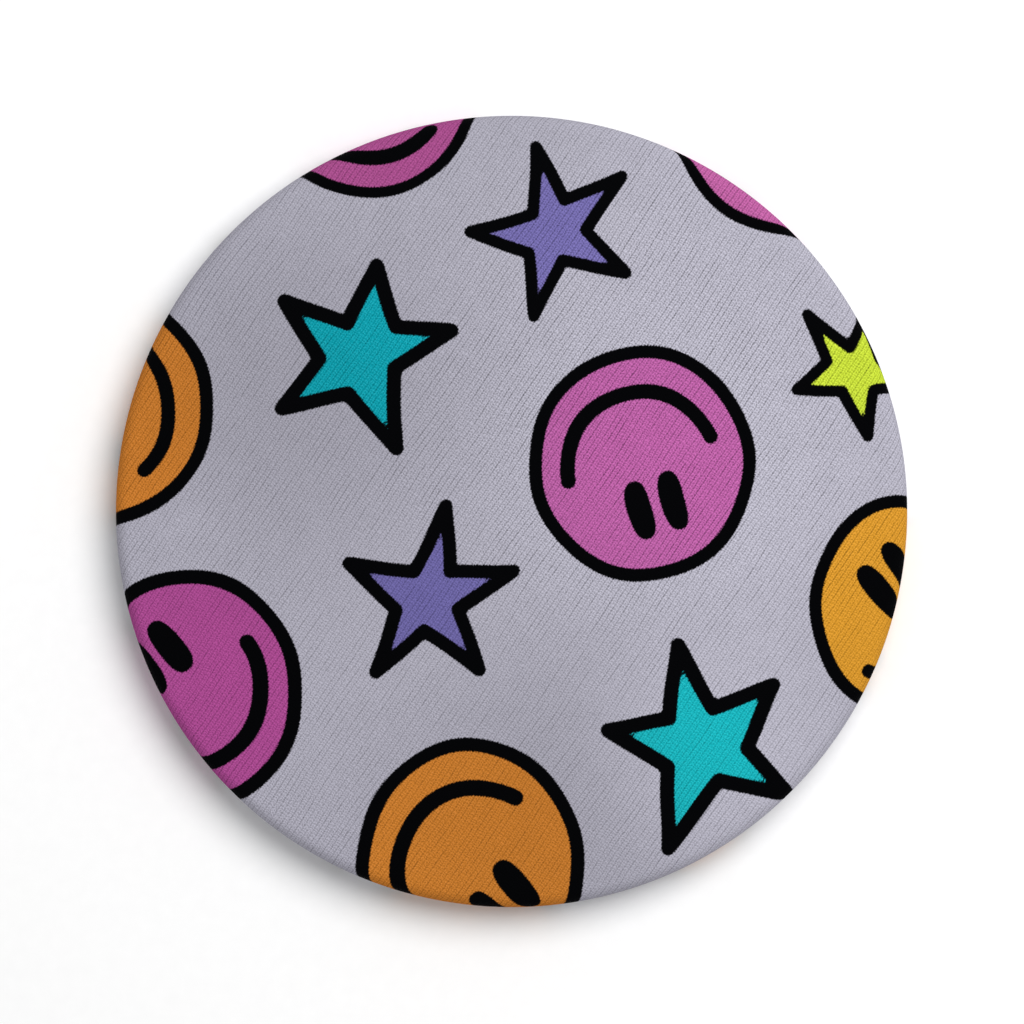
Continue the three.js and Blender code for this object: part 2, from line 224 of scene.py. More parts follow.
def from_loop(points, corners):
    """How far each point is from a closed line through the corners, and whether it is inside it."""
    best, inside = np.full(len(points), np.inf), np.zeros(len(points), bool)
    for a, b in zip(corners, np.roll(corners, -1, axis=0)):
        along = np.clip(((points - a) @ (b - a)) / ((b - a) @ (b - a)), 0, 1)
        best = np.minimum(best, np.hypot(*(points - a - along[:, None] * (b - a)).T))
        crosses = (a[1] > points[:, 1]) != (b[1] > points[:, 1])
        with np.errstate(divide="ignore", invalid="ignore"):
            at = a[0] + (points[:, 1] - a[1]) / (b[1] - a[1]) * (b[0] - a[0])
        inside ^= crosses & (points[:, 0] < at)
    return best, inside


def print_at(points):
    """How far each point of the flat cloth is outside the black linework, and its dye."""
    x, y = points.T
    shaky = points + SHAKE * np.stack([np.sin(0.9 * y + 1.0), np.sin(0.8 * x + 2.0)], axis=1)
    line = np.full(len(points), 9.0)
    dye = np.tile(GROUND, (len(points), 1))
    for face in SMILEYS:
        rim = from_ellipse(shaky, face.centre, face.half)
        dye[rim < 0] = face.dye
        for part in (np.abs(rim) - face.line / 2, from_smile(shaky, face), from_eyes(shaky, face)):
            line = np.minimum(line, part)
    wall_stars = [(colour, WALL_STAR_LINE, star_corners(*shape)) for colour, *shape in WALL_STARS]
    for colour, width, corners in STARS + wall_stars:
        rim, inside = from_loop(shaky, np.array(corners))
        dye[inside] = colour
        line = np.minimum(line, rim - width / 2)
    return line, dye


# ---------------------------------------------------------------- material nodes


class Graph:
    """The nodes of one new material."""

    def __init__(self, name):
        self.material = bpy.data.materials.new(name)
        self.material.use_nodes = True
        self.tree = self.material.node_tree
        self.shader = self.tree.nodes["Principled BSDF"]

    def add(self, kind, inputs=(), **settings):
        node = self.tree.nodes.new("ShaderNode" + kind)
        for key, value in settings.items():
            setattr(node, key, value)
        for key, value in dict(inputs).items():
            self.plug(value, node.inputs[key])
        return node

    def plug(self, value, socket):
        if isinstance(value, bpy.types.NodeSocket):
            self.tree.links.new(value, socket)
        else:
            socket.default_value = value

    def math(self, operation, *values):
        node = self.add("Math", dict(enumerate(values)), operation=operation)
        return node.outputs[0]

    def stretched(self, value, low, high, to_low=0.0, to_high=1.0):
        inputs = {"Value": value, "From Min": low, "From Max": high, "To Min": to_low, "To Max": to_high}
        return self.add("MapRange", inputs, interpolation_type="SMOOTHSTEP").outputs[0]

    def noise(self, place, scale, detail=2.0, roughness=0.5):
        inputs = {"Vector": place, "Scale": scale, "Detail": detail, "Roughness": roughness}
        return self.add("TexNoise", inputs).outputs["Fac"]

    def mixed(self, share, first, second, blend="MIX"):
        node = self.add("Mix", {0: share, 6: first, 7: second}, data_type="RGBA", blend_type=blend)
        return node.outputs[2]

    def along(self, place, direction):
        return self.add("VectorMath", {0: place, 1: direction}, operation="DOT_PRODUCT").outputs["Value"]

    def distance(self, place, centre):
        return self.add("VectorMath", {0: place, 1: centre}, operation="DISTANCE").outputs["Value"]

    def place(self):
        """Where the point is on its piece, in millimetres."""
        metres = self.add("TexCoord").outputs["Object"]
        return self.add("VectorMath", {0: metres, "Scale": 1 / MM}, operation="SCALE").outputs["Vector"]

    def vector(self, x, y, z=0.0):
        return self.add("CombineXYZ", {0: x, 1: y, 2: z}).outputs[0]

    def set(self, **values):
        for key, value in values.items():
            self.plug(value, self.shader.inputs[key.replace("_", " ")])

    def bump(self, height, depth, strength=1.0):
        inputs = {"Height": height, "Distance": depth * MM, "Strength": strength}
        self.plug(self.add("Bump", inputs).outputs[0], self.shader.inputs["Normal"])


# Painted light and shade on the cloth, in soft round patches: centre, radius, and the change at the centre.
# They were fitted by a program to the light and dark of the photo.
PAINTED_LIGHT_AND_SHADE = [
    ((-16, 10), 25, -0.22),
    ((14, 0), 20, 0.09),
    ((0, 31), 16, -0.13),
    ((3, -21), 23, -0.16),
    ((14, -18), 12, 0.21),
    ((-24, -1), 7, 0.06),
]


# Painted light and shade: the cloth's colour made lighter or darker in soft round patches.
def painted_light_and_shade(g, cut):
    tone = 1.0
    for centre, radius, change in PAINTED_LIGHT_AND_SHADE:
        tone = g.math("ADD", tone, g.stretched(g.distance(cut, (*centre, 0)), 0, radius, change, 0.0))
    return tone


WALE = 0.38  # from rib to rib of the knit
COURSE = 0.22  # from loop to loop along a rib
RIB_ANGLE = 56
BLACK = (0.001, 0.0011, 0.0016, 1)
FIBRE = (0.8, 0.78, 0.84, 1)
WEAVE_SHOWS_AT = (11, 9)  # where the knit is most open


def printed_knit():
    g = Graph("printed_knit")
    cut = g.add("Attribute", attribute_name="cut").outputs["Vector"]
    line = g.add("Attribute", attribute_name="line").outputs["Fac"]
    dye = g.add("Attribute", attribute_name="dye").outputs["Color"]
    c, s = math.cos(math.radians(RIB_ANGLE)), math.sin(math.radians(RIB_ANGLE))
    drift = g.math("MULTIPLY", g.math("SUBTRACT", g.noise(cut, 0.1, 1.0), 0.5), 0.7)
    across = g.math("DIVIDE", g.math("ADD", g.along(cut, (s, -c, 0)), drift), WALE)
    along = g.along(cut, (c, s, 0))
    shows = g.stretched(g.distance(cut, (*WEAVE_SHOWS_AT, 0)), 5, 26, 1.06, 0.66)

    # The ribs, and the dark furrows that open between some of them.
    wave = g.math("COSINE", g.math("MULTIPLY", across, 2 * math.pi))
    streak = g.noise(g.vector(across, g.math("DIVIDE", along, 3.2)), 0.8, 1.5)
    patch = g.noise(cut, 0.12, 1.0)
    dash = g.noise(g.vector(across, g.math("DIVIDE", along, 0.6), 3.0), 0.9, 1.5)
    drawn = g.stretched(g.math("ADD", streak, g.math("MULTIPLY", patch, 0.4)), 0.55, 0.9, 0.05)
    furrow = g.math("MULTIPLY", g.stretched(g.math("MULTIPLY", wave, -1.0), 0.6, 1.0), drawn)
    furrow = g.math("MULTIPLY", furrow, g.stretched(dash, 0.32, 0.62, 0.3))

    # The slanting stitches along each rib, its two threads, and the fuzz.
    off_middle = g.math("PINGPONG", across, 0.5)
    jitter = g.noise(cut, 2.6, 1.5)
    course = g.math("ADD", g.math("DIVIDE", along, COURSE), g.math("MULTIPLY", off_middle, 0.7))
    course = g.math("ADD", course, g.math("MULTIPLY", jitter, 2.2))
    stitch = g.math("COSINE", g.math("MULTIPLY", course, 2 * math.pi))
    threads = g.math("ADD", across, g.math("MULTIPLY", jitter, 0.45))
    twin = g.math("COSINE", g.math("MULTIPLY", threads, 4 * math.pi))
    fuzz = g.math("SUBTRACT", g.noise(cut, 11.0, 1.0, 0.6), 0.5)
    plain = g.math("ADD", g.math("MULTIPLY", wave, 0.17), g.math("MULTIPLY", twin, 0.42))
    grain = g.math("ADD", plain, g.math("MULTIPLY", stitch, 0.42))
    grain = g.math("ADD", g.math("MULTIPLY", grain, 0.6), g.math("MULTIPLY", fuzz, 1.7))
    slub = g.math("SUBTRACT", g.noise(cut, 0.5, 2.0), 0.5)

    # The colour: the dye, shaded by the weave, with painted light and shade, pale fibres and the black
    # linework over it.
    weave = g.math("SUBTRACT", g.math("MULTIPLY", grain, 0.6), g.math("MULTIPLY", furrow, 0.3))
    tone = g.math("ADD", 1.0, g.math("MULTIPLY", weave, shows))
    tone = g.math("ADD", tone, g.math("MULTIPLY", slub, 0.1))
    # Painted light and shade over the cloth's colour.
    tone = g.math("MULTIPLY", tone, painted_light_and_shade(g, cut))
    cloth = g.mixed(1.0, dye, g.vector(tone, tone, tone), "MULTIPLY")
    fibres = g.math("MULTIPLY", g.stretched(grain, 0.0, 0.45, 0.0, 0.02), shows)
    cloth = g.mixed(fibres, cloth, FIBRE)
    bleed = g.math("ADD", line, g.math("MULTIPLY", grain, 0.05))
    ink = g.stretched(bleed, -0.06, 0.06, 1.0, 0.0)
    g.set(
        Base_Color=g.mixed(ink, cloth, BLACK),
        Roughness=g.stretched(grain, -0.3, 0.3, 0.8, 0.95),
        Specular_IOR_Level=0.02,
    )
    height = g.math("SUBTRACT", g.math("MULTIPLY", wave, 0.25), furrow)
    g.bump(g.math("ADD", height, g.math("MULTIPLY", grain, 2.0)), 0.03, 0.6)
    return g.material


def nonwoven():
    g = Graph("nonwoven")
    place = g.place()
    fibre = g.noise(g.vector(g.along(place, (3, 3, 1)), g.along(place, (-0.6, 0.6, 0))), 1.4, 4.0, 0.7)
    cross = g.noise(g.vector(g.along(place, (0.5, -0.8, 0)), g.along(place, (3, 2.5, 2))), 1.6, 4.0, 0.7)
    mat = g.math("MULTIPLY", fibre, cross)
    g.set(
        Base_Color=g.mixed(g.stretched(mat, 0.1, 0.42), (0.7, 0.68, 0.62, 1), (0.86, 0.85, 0.81, 1)),
        Roughness=g.stretched(mat, 0.1, 0.4, 0.98, 0.85),
        Specular_IOR_Level=0.2,
    )
    g.bump(mat, 0.08, 0.7)
    return g.material


def bright_metal(name, dull, bright, roughness, grain, bump=0.002):
    """Plate or wire with fine lines along X, soft stains, and a few scratches across."""
    g = Graph(name)
    place = g.place()
    drawn = g.vector(*(g.along(place, way) for way in ((0.12, 0, 0), (0, grain, 0), (0, 0, grain))))
    lines = g.noise(drawn, 1.0, 3.0, 0.6)
    stain = g.noise(place, 0.35, 3.0, 0.6)
    skew = g.vector(g.along(place, (5, 3, 4)), g.along(place, (-0.12, 0.2, 0.1)), stain)
    scratch = g.stretched(g.noise(skew, 1.1, 1.0), 0.7, 0.8)
    tone = g.math("ADD", g.math("MULTIPLY", lines, 0.6), g.math("MULTIPLY", stain, 0.4))
    rough = g.math("ADD", g.stretched(tone, 0.3, 0.7, *roughness), g.math("MULTIPLY", scratch, 0.1))
    g.set(
        Base_Color=g.mixed(g.stretched(tone, 0.3, 0.7), (*dull, 1), (*bright, 1)),
        Metallic=1.0,
        Roughness=rough,
    )
    g.bump(g.math("SUBTRACT", lines, g.math("MULTIPLY", scratch, 0.4)), bump, 0.6)
    return g.material


def tinplate():
    return bright_metal("tinplate", (0.5, 0.51, 0.53), (0.64, 0.65, 0.67), (0.42, 0.27), 7.0)


def nickel():
    return bright_metal("nickel", (0.56, 0.53, 0.48), (0.7, 0.67, 0.62), (0.3, 0.15), 12.0)


def needle_steel():
    return bright_metal("needle_steel", (0.58, 0.59, 0.6), (0.72, 0.73, 0.74), (0.26, 0.12), 22.0)


def table_top():
    g = Graph("table_top")
    place = g.add("NewGeometry").outputs["Position"]
    speck = g.noise(place, 900.0, 2.0)
    g.set(Base_Color=g.mixed(speck, (0.94, 0.94, 0.94, 1), (0.98, 0.98, 0.98, 1)), Roughness=0.9)
    g.shader.inputs["Specular IOR Level"].default_value = 0.1
    return g.material


# ---------------------------------------------------------------- making pieces

SHARP = math.radians(40)  # faces that meet at more than this show an edge


def new_piece(name, points, faces, material):
    """A piece from points in millimetres."""
    mesh = bpy.data.meshes.new(name)
    mesh.from_pydata((np.asarray(points) * MM).tolist(), [], faces)
    mesh.materials.append(material)
    piece = bpy.data.objects.new(name, mesh)
    bpy.context.scene.collection.objects.link(piece)
    return piece


def solid(name, shapes, material):
    """A piece from shapes, which are points and faces each, with its normals put right and crisp edges."""
    points, faces = [], []
    for shape_points, shape_faces in shapes:
        start = len(points)
        points += np.asarray(shape_points).tolist()
        faces += [[start + int(k) for k in face] for face in shape_faces]
    piece = new_piece(name, points, faces, material)
    bm = bmesh.new()
    bm.from_mesh(piece.data)
    bmesh.ops.recalc_face_normals(bm, faces=bm.faces)
    bm.to_mesh(piece.data)
    bm.free()
    piece.data.shade_smooth()
    piece.data.set_sharp_from_angle(angle=SHARP)
    return piece


def rounded(corners, steps=4, closed=True):
    """A line through corners (x, y, radius), each rounded to its radius."""
    points = []
    for i, (x, y, radius) in enumerate(corners):
        corner = np.array([x, y], float)
        if radius == 0 or not closed and i in (0, len(corners) - 1):
            points.append(corner)
            continue
        back, ahead = (np.array(corners[k % len(corners)][:2]) - corner for k in (i - 1, i + 1))
        back, ahead = back / np.hypot(*back), ahead / np.hypot(*ahead)
        half = math.acos(np.clip(back @ ahead, -1, 1)) / 2
        middle = corner + (back + ahead) / np.hypot(*(back + ahead)) * radius / math.sin(half)
        first, last = (corner + way * radius / math.tan(half) - middle for way in (back, ahead))
        start = math.atan2(first[1], first[0])
        turn = (math.atan2(last[1], last[0]) - start + math.pi) % (2 * math.pi) - math.pi
        angle = start + turn * np.linspace(0, 1, steps + 1)
        points += list(middle + radius * np.stack([np.cos(angle), np.sin(angle)], axis=1))
    return np.array(points)


def facing(axis, points, at=(0, 0, 0)):
    """Points made about Z, turned to another axis: (x, y) comes to lie in (y, z) for X, or (x, z) for Y."""
    order = {"X": [2, 0, 1], "Y": [0, 2, 1], "Z": [0, 1, 2]}[axis]
    return np.asarray(points)[:, order] + np.array(at)


def turned(profile, sides, axis="Z", at=(0, 0, 0)):
    """A shape from a profile of (radius, height) turned about an axis, closed at the axis or on itself."""
    angle = 2 * np.pi * np.arange(sides) / sides
    points, rings, faces = [], [], []
    for radius, height in profile:
        on_axis = radius < 1e-6
        rings.append(np.full(sides, len(points)) if on_axis else len(points) + np.arange(sides))
        points += [[0, 0, height]] if on_axis else around(angle, radius, height).tolist()
    pairs = list(zip(rings, rings[1:]))
    if profile[0][0] > 1e-6:
        pairs.append((rings[-1], rings[0]))
    for low, high in pairs:
        for a, b, c, d in zip(low, np.roll(low, -1), np.roll(high, -1), high):
            face = list(dict.fromkeys([a, b, c, d]))
            if len(face) > 2:
                faces.append(face)
    return facing(axis, points, at), faces


def plate(outline, low, high, bevel, holes=(), axis="Z"):
    """A shape from a flat outline with holes, from low to high along an axis, with its edges rounded."""
    points, faces, caps = [], [], ([], [])
    levels = [(bevel, low), (0.3 * bevel, low + 0.3 * bevel), (0, low + bevel)]
    levels += [(inset, low + high - height) for inset, height in reversed(levels)]
    for number, loop in enumerate([outline, *holes]):
        loop = np.asarray(loop, float)
        ahead = np.roll(loop, -1, axis=0) - loop
        area = (loop[:, 0] * np.roll(loop[:, 1], -1) - loop[:, 1] * np.roll(loop[:, 0], -1)).sum()
        if (area > 0) != (number == 0):
            loop = loop[::-1]
            ahead = np.roll(loop, -1, axis=0) - loop
        left = np.stack([-ahead[:, 1], ahead[:, 0]], axis=1) / np.hypot(*ahead.T)[:, None]
        inward = left + np.roll(left, 1, axis=0)
        inward /= (inward**2).sum(axis=1)[:, None] / 2
        count = len(loop)
        for k, (inset, height) in enumerate(levels):
            start = len(points)
            points += [[x, y, height] for x, y in loop + inset * inward]
            ring = start + np.arange(count)
            if k in (0, len(levels) - 1):
                caps[k > 0].append(ring)
            if k:
                ahead_ring = np.roll(ring, -1)
                faces += np.stack([ring - count, ahead_ring - count, ahead_ring, ring], axis=1).tolist()
    for cap in caps:
        order = np.concatenate(cap)
        corners = [[Vector(points[k]) for k in ring] for ring in cap]
        faces += [[int(order[k]) for k in face] for face in tessellate_polygon(corners)]
    return facing(axis, points), faces


def circle(x, y, radius, sides=48):
    return arc(x, y, radius, 0, 360, sides)[:-1]


def box_of(node):
    low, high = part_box(node)
    return np.array(low) / MM, np.array(high) / MM


def put(piece, body, node):
    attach(piece, body)
    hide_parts(node)
    return piece


# ---------------------------------------------------------------- the cover

FACE_CELLS = 208  # the face's grid, each way
PLEAT_DEPTH = 0.15


def cover_pleats(angle):
    """How deep the hem's gathers are, from 0 to 1, round the badge."""
    chance = np.random.default_rng(7)
    waves = sum(
        chance.uniform(0.4, 1) * np.sin(count * angle + chance.uniform(0, 2 * np.pi))
        for count in (41, 53, 64, 71, 83, 97)
    )
    return np.clip(0.5 + waves / 3.2, 0, 1)


def on_disc(cells):
    """A square grid pressed into a round one: how far out each point is, from 0 to 1, and its direction."""
    step = np.linspace(-1, 1, cells + 1)
    x, y = (side.ravel() for side in np.meshgrid(step, step))
    wide = np.abs(x) > np.abs(y)
    out = np.where(wide, x, y)
    safe = np.where(out == 0, 1, out)
    angle = np.where(wide, np.pi / 4 * y / safe, np.pi / 2 - np.pi / 4 * x / safe)
    return np.abs(out), angle + np.where(out < 0, np.pi, 0)


def border_of(cells):
    """The grid's outermost points, anticlockwise."""
    row, size = np.arange(cells), cells + 1
    return np.concatenate([row, row * size + cells, size * size - 1 - row, cells * size - row * size])


def around(angle, radius, height):
    return np.stack([radius * np.cos(angle), radius * np.sin(angle), height * np.ones_like(angle)], axis=1)


def fabric_cover():
    skin, crown_count = outline(0.0, FABRIC_LEG_TOP)
    inward = outline(1.0, FABRIC_LEG_TOP)[0] - skin
    along = np.concatenate([[0], np.cumsum(np.hypot(*np.diff(skin, axis=0).T))])
    rim, end = crown_count - 1, len(skin) - 1

    out, angle = on_disc(FACE_CELLS)
    length = out * along[rim]
    points = [around(angle, np.interp(length, along, skin[:, 0]), np.interp(length, along, skin[:, 1]))]
    cuts = [around(angle, np.interp(length, along, skin[:, 0]), 0)]
    grid = np.arange((FACE_CELLS + 1) ** 2).reshape(FACE_CELLS + 1, -1)
    corners = [grid[:-1, :-1], grid[:-1, 1:], grid[1:, 1:], grid[1:, :-1]]
    faces = np.stack(corners, axis=-1).reshape(-1, 4).tolist()

    border = border_of(FACE_CELLS)
    turn = angle[border]
    pleats = cover_pleats(turn)
    under = np.searchsorted(skin[rim:, 1] < ROLL, True) + rim
    down = [(i, PLEAT_DEPTH * np.clip((i - under) / 8, 0, 1) * pleats) for i in range(rim + 1, end + 1)]
    back = [(i, FABRIC_THICK) for i in range(end, rim, -2)] + [(i, FABRIC_THICK) for i in range(rim, 0, -12)]
    ring = border
    for number, (i, depth) in enumerate(down + back):
        radius, height = (skin[i, k] + depth * inward[i, k] for k in (0, 1))
        spread = skin[rim, 0] + along[i] - along[rim] if i > rim else skin[i, 0]
        start = sum(len(p) for p in points)
        points.append(around(turn, radius, height))
        cuts.append(around(turn, spread + (FABRIC_THICK if number == len(down) else 0), 0))
        last, ring = ring, start + np.arange(len(turn))
        faces += np.stack([ring, np.roll(ring, -1), np.roll(last, -1), last], axis=1).tolist()
    centre = ring[-1] + 1
    points.append([[0, 0, HEIGHT - FABRIC_THICK]])
    cuts.append([[0, 0, 0]])
    faces += [[centre, int(b), int(a)] for a, b in zip(ring, np.roll(ring, -1))]

    piece = new_piece("cover", np.concatenate(points), faces, printed_knit())
    cut = np.concatenate(cuts)
    line, dye = print_at(cut[:, :2])
    outside = FACE_CELLS**2 + len(down) * len(turn)
    give_print(piece.data, cut, line, dye)
    give_flat_map(piece.data, cut, outside + len(turn))
    piece.data.shade_smooth()
    put(piece, "badge", "fabric_cover")


def give_print(mesh, cut, line, dye):
    for name, kind, key, values in (
        ("cut", "FLOAT_VECTOR", "vector", cut),
        ("line", "FLOAT", "value", line),
        ("dye", "FLOAT_COLOR", "color", np.hstack([dye, np.ones((len(dye), 1))])),
    ):
        layer = mesh.attributes.new(name, kind, "POINT")
        layer.data.foreach_set(key, np.asarray(values, np.float32).ravel())


def give_flat_map(mesh, cut, outer_faces):
    """Texture places that follow the flat cut. The inside of the cloth is small, in a corner."""
    corner = np.zeros(len(mesh.loops), np.int32)
    mesh.loops.foreach_get("vertex_index", corner)
    starts = np.zeros(len(mesh.polygons), np.int32)
    mesh.polygons.foreach_get("loop_start", starts)
    inner = np.arange(len(corner)) >= starts[outer_faces]
    reach = np.abs(cut).max() * 1.01
    place = cut[corner, :2] / reach
    place = np.where(inner[:, None], 0.08 + 0.07 * place, 0.5 + 0.5 * place)
    mesh.uv_layers.new(name="OFBake").data.foreach_set("uv", place.astype(np.float32).ravel())


# ---------------------------------------------------------------- lining, shell and back plate

LAYER_GAP = 0.04
LINING_THICK = 0.2
LINING_LEG_TOP = 1.6
TIN_THICK = 0.28
SHELL_LEG_TOP = 1.5
DISH_FLAT_RADIUS = 21.4
DISH_FOOT_RADIUS = 24.6
FLANGE_TOP = 3.25
ROUND_SIDES = 160

LINING_DEPTH = FABRIC_THICK + LAYER_GAP
SHELL_DEPTH = LINING_DEPTH + LINING_THICK + LAYER_GAP


def layer(name, depth, thickness, leg_top, material):
    outside, inside = (outline(d, leg_top, 16)[0] for d in (depth, depth + thickness))
    return solid(name, [turned(np.concatenate([inside, outside[::-1]]), ROUND_SIDES)], material)


def lining_and_shell(tin):
    lining = layer("lining", LINING_DEPTH, LINING_THICK, LINING_LEG_TOP, nonwoven())
    shell = layer("shell", SHELL_DEPTH, TIN_THICK, SHELL_LEG_TOP, tin)
    put(lining, "badge", "interlining")
    put(shell, "badge", "front_shell")


def back_plate(tin):
    low, high = box_of("back_plate")
    flange = high[0]
    brim, top = low[2], high[2]
    profile = [
        (0, top - TIN_THICK, 0), (DISH_FLAT_RADIUS, top - TIN_THICK, 0.6), (DISH_FOOT_RADIUS, brim, 0.32),
        (flange, brim, 0.42), (flange, FLANGE_TOP, 0.1), (flange - TIN_THICK, FLANGE_TOP, 0.1),
        (flange - TIN_THICK, brim + TIN_THICK, 0.14),
        (DISH_FOOT_RADIUS + TIN_THICK / 2, brim + TIN_THICK, 0.6),
        (DISH_FLAT_RADIUS + TIN_THICK / 2, top, 0.32), (0, top, 0),
    ]
    back = solid("back", [turned(rounded(profile, 5), ROUND_SIDES)], tin)
    for x in (-BAR_RIVET_X, BAR_RIVET_X):
        hole = turned([(0, 0), (BAR_RIVET_HOLE, 0), (BAR_RIVET_HOLE, 9), (0, 9)], 48, at=(x, PIN_Y, 0))
        bored(back, solid("hole", [hole], tin))
    put(back, "badge", "back_plate")


def bored(piece, cutter):
    """Takes the cutter out of the piece."""
    bore = piece.modifiers.new("bore", "BOOLEAN")
    bore.object, bore.operation, bore.solver = cutter, "DIFFERENCE", "EXACT"
    piece.data = bpy.data.meshes.new_from_object(piece.evaluated_get(bpy.context.evaluated_depsgraph_get()))
    piece.modifiers.clear()
    piece.data.set_sharp_from_angle(angle=SHARP)
    bpy.data.objects.remove(cutter)


# ---------------------------------------------------------------- the bar pin

BAR_BOX = box_of("pin_bar")
PIN_Y = (BAR_BOX[0][1] + BAR_BOX[1][1]) / 2
BAR_LOW, BAR_TOP = BAR_BOX[0][2], BAR_BOX[1][2]
HINGE_X, PIN_AXIS_Z = (np.add(*box_of("hinge_rivet")) / 2)[[0, 2]]
LOCK_X = (np.add(*box_of("catch_lock")) / 2)[0]
BAR_RIVET_X = (np.add(*box_of("bar_rivet_right")) / 2)[0]
BAR_CORNER = 1.4
BAR_RIVET_HOLE = 0.75
BAR_SPARE_HOLE = 0.9
RIVET_HEAD = 1.35
RIVET_SHANK = 0.7
RIVET_CLENCH = 1.25
PAD_TOP = BAR_LOW - LAYER_GAP
PAD_THICK = 0.3
PAD_WIDTH = 2.7
PAD_CORNER = 0.4
HINGE_PAD_LENGTH = 3.4
TENON_RADIUS = 0.5
FIT_GAP = 0.05  # round a tenon or a rivet in its hole
EAR_RADIUS = 1.05
EAR_INNER = 0.5
EAR_THICK = 0.4
HINGE_RIVET_RADIUS = 0.4
HINGE_RIVET_HEAD = 0.75
NEEDLE_RADIUS = 0.4
NEEDLE_TAPER = 4.0
EYE_RADIUS = 0.9
EYE_HOLE = 0.45
HOUSING_LENGTH = 3.2
HOUSING_OUTER, HOUSING_INNER = 1.3, 1.0
HOUSING_FROM, HOUSING_TO = -12, 235  # degrees from +Y, towards +Z
LOCK_OUTER, LOCK_INNER = 0.95, 0.55
LOCK_SLOT = 0.95
COLLAR_RADIUS = 1.25
COLLAR_THICK = 0.35
LEVER_ANGLE = 58  # degrees from straight down, towards +Y
LEVER_REACH = 1.8
LEVER_THICK = 0.5
LEVER_LENGTH = 2.0
LEVER_ROOT = LOCK_INNER + 0.1  # where the lever starts, inside the barrel's wall


def block(x, y, width, height, corner):
    """A rounded rectangle."""
    ways = ((1, 1), (-1, 1), (-1, -1), (1, -1))
    return rounded([(x + a * width / 2, y + b * height / 2, corner) for a, b in ways], 8)


def pin_bar(metal):
    holes = [circle(0, PIN_Y, BAR_SPARE_HOLE)]
    holes += [circle(x, PIN_Y, BAR_RIVET_HOLE) for x in (-BAR_RIVET_X, BAR_RIVET_X)]
    holes += [circle(x, PIN_Y, TENON_RADIUS + FIT_GAP) for x in (HINGE_X, LOCK_X)]
    low, high = BAR_BOX
    outer = block(0, PIN_Y, high[0] - low[0], high[1] - low[1], BAR_CORNER)
    bar = solid("bar", [plate(outer, BAR_LOW, BAR_TOP, 0.09, holes)], metal)
    put(bar, "badge", "pin_bar")


def dome(radius, low, high):
    """A domed head's profile, from its edge at low to the axis at high."""
    angles = np.linspace(0.12, math.pi / 2, 12)[:-1]
    return [(radius * math.cos(a), low + (high - low) * math.sin(a) ** 0.8) for a in angles] + [(0, high)]


def bar_rivets(metal):
    for name, node in (("rivet_left", "bar_rivet_left"), ("rivet_right", "bar_rivet_right")):
        low, high = box_of(node)
        x, top = (low[0] + high[0]) / 2, high[2]
        clench = BAR_TOP + LAYER_GAP + TIN_THICK + LAYER_GAP
        shank = [(RIVET_HEAD, PAD_TOP, 0), (RIVET_SHANK, PAD_TOP, 0), (RIVET_SHANK, clench, 0)]
        profile = dome((high[0] - low[0]) / 2, PAD_TOP, low[2])[::-1]
        profile += rounded([*shank, (RIVET_CLENCH, clench, 0.1)], 4, False).tolist()
        profile += dome(RIVET_CLENCH, clench, top)
        put(solid(name, [turned(profile, 48, at=(x, PIN_Y, 0))], metal), "badge", node)


def staked_foot(x, length):
    """A pad under the bar, and a tenon that fills its hole."""
    pad = plate(block(x, PIN_Y, length, PAD_WIDTH, PAD_CORNER), PAD_TOP - PAD_THICK, PAD_TOP, 0.06)
    tenon = [(0, BAR_TOP), (TENON_RADIUS - 0.08, BAR_TOP), (TENON_RADIUS, BAR_TOP - 0.08),
             (TENON_RADIUS, PAD_TOP - 0.15), (0, PAD_TOP - 0.15)]
    return [pad, turned(tenon, 32, at=(x, PIN_Y, 0))]


def hinge(metal):
    root = PAD_TOP - PAD_THICK / 2
    ear = np.concatenate([
        [(HINGE_X + EAR_RADIUS, root), (HINGE_X - EAR_RADIUS, root)],
        arc(HINGE_X, PIN_AXIS_Z, EAR_RADIUS, 180, 360, 32),
    ])
    hole = circle(HINGE_X, PIN_AXIS_Z, HINGE_RIVET_RADIUS + FIT_GAP, 32)
    starts = [PIN_Y + EAR_INNER, PIN_Y - EAR_INNER - EAR_THICK]
    ears = [plate(ear, start, start + EAR_THICK, 0.07, [hole], "Y") for start in starts]
    bracket = solid("hinge", staked_foot(HINGE_X, HINGE_PAD_LENGTH) + ears, metal)
    put(bracket, "badge", "hinge_bracket")

    low, high = box_of("hinge_rivet")
    grip = EAR_INNER + EAR_THICK + LAYER_GAP
    head = dome(HINGE_RIVET_HEAD, grip, high[1] - PIN_Y)
    half = [(HINGE_RIVET_RADIUS, grip), *head]
    profile = [(r, -h) for r, h in reversed(half)] + half
    rivet = solid("hinge_pin", [turned(profile, 32, "Y", (HINGE_X, PIN_Y, PIN_AXIS_Z))], metal)
    put(rivet, "badge", "hinge_rivet")


def pin_wire(metal):
    tip = box_of("pin_stem")[1][0]
    start = HINGE_X + (EYE_HOLE + EYE_RADIUS) / 2
    shares = np.linspace(0, 1, 14)[:-1]
    point = [(NEEDLE_RADIUS * (1 - (t**1.7)), tip - NEEDLE_TAPER * (1 - t)) for t in shares]
    wire = turned([(0, start), (NEEDLE_RADIUS, start), *point, (0, tip)], 32, "X", (0, PIN_Y, PIN_AXIS_Z))
    half = NEEDLE_RADIUS
    section = [(EYE_HOLE, -half), (EYE_RADIUS, -half), (EYE_RADIUS, half), (EYE_HOLE, half)]
    ring = rounded([(radius, height, 0.16) for radius, height in section], 5)
    eye = turned(ring, 40, "Y", (HINGE_X, PIN_Y, PIN_AXIS_Z))
    put(solid("pin_wire", [wire, eye], metal), "needle", "pin_stem")


